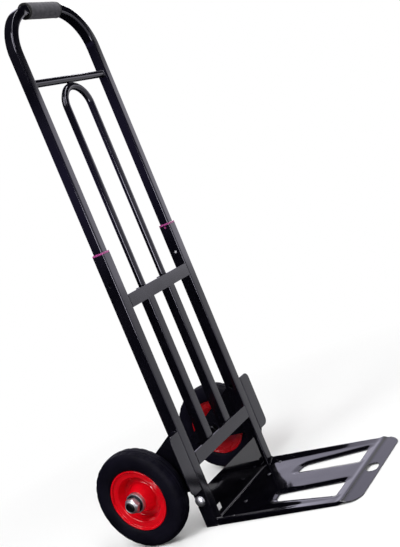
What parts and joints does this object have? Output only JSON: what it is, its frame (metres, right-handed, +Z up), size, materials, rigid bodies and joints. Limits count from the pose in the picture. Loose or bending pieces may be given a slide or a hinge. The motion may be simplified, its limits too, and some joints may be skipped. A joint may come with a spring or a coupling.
{
  "type": "folding sack truck",
  "caption": "Upright sack truck with a telescopic handle, centre hoop, folding pressed toe plate and rubber-tyred wheels on stub axles.",
  "frame": {"origin": "on the floor, under the middle of the truck's box, with the handle drawn out and the toe plate down", "axes": "+X to the truck's right, -Y to the load side where the toe plate reaches out, +Z up along the side tubes"},
  "size_m": [0.4726, 0.565, 1.1585],
  "materials": {
    "black_paint": "gloss black powder coat",
    "collar_plastic": "pink moulded plastic",
    "black_plastic": "black moulded plastic",
    "foam": "charcoal foam, fine closed cells",
    "zinc_steel": "bright zinc plate",
    "spring_steel": "bare spring steel",
    "black_steel": "black paint",
    "bearing_steel": "oiled steel",
    "red_paint": "gloss red paint",
    "tyre_rubber": "satin black rubber"
  },
  "bodies": {
    "frame": {"left_side_tube": "black_paint", "right_side_tube": "black_paint", "left_guide_tube": "black_paint", "right_guide_tube": "black_paint", "upper_cross_plate": "black_paint", "lower_cross_plate": "black_paint", "left_collar": "collar_plastic", "right_collar": "collar_plastic", "left_wheel_bracket": "black_paint", "right_wheel_bracket": "black_paint", "guide_bushes": "black_plastic", "tube_feet": "black_plastic", "left_axle_bolt": "black_steel", "right_axle_bolt": "black_steel", "left_axle_spacer": "black_steel", "right_axle_spacer": "black_steel", "axle_washers": "black_steel", "axle_nuts": "zinc_steel", "pivot_bolts": "zinc_steel", "pivot_nuts": "zinc_steel"},
    "handle": {"handle_tube": "black_paint", "handle_crossbar": "black_paint", "centre_hoop": "black_paint", "handle_grip": "foam", "leg_glides": "black_plastic", "left_button_spring": "spring_steel", "right_button_spring": "spring_steel"},
    "left_button": {"left_lock_button": "zinc_steel"},
    "right_button": {"right_lock_button": "zinc_steel"},
    "left_wheel": {"left_tyre": "tyre_rubber", "left_rim_outer": "red_paint", "left_rim_inner": "red_paint", "left_hub": "zinc_steel", "left_bearings": "bearing_steel"},
    "right_wheel": {"right_tyre": "tyre_rubber", "right_rim_outer": "red_paint", "right_rim_inner": "red_paint", "right_hub": "zinc_steel", "right_bearings": "bearing_steel"},
    "toe": {"toe_plate": "black_paint", "toe_stiffener": "black_paint", "toe_rivets": "zinc_steel"}
  },
  "joints": [
    {"name": "handle_slide", "type": "slide", "parent": "frame", "child": "handle", "axis": [0, 0, 1], "range_m": [-0.34, 0]},
    {"name": "left_button_press", "type": "slide", "parent": "handle", "child": "left_button", "axis": [1, 0, 0], "range_m": [0, 0.0032], "stiffness_N_per_m": 800},
    {"name": "right_button_press", "type": "slide", "parent": "handle", "child": "right_button", "axis": [-1, 0, 0], "range_m": [0, 0.0032], "stiffness_N_per_m": 800},
    {"name": "toe_fold", "type": "hinge", "parent": "frame", "child": "toe", "pos_m": [0, 0.0645, 0.06], "axis": [-1, 0, 0], "range_deg": [0, 90]},
    {"name": "left_wheel_spin", "type": "hinge", "parent": "frame", "child": "left_wheel", "pos_m": [-0.186, 0.1745, 0.108], "axis": [1, 0, 0], "continuous": true},
    {"name": "right_wheel_spin", "type": "hinge", "parent": "frame", "child": "right_wheel", "pos_m": [0.186, 0.1745, 0.108], "axis": [1, 0, 0], "continuous": true}
  ]
}
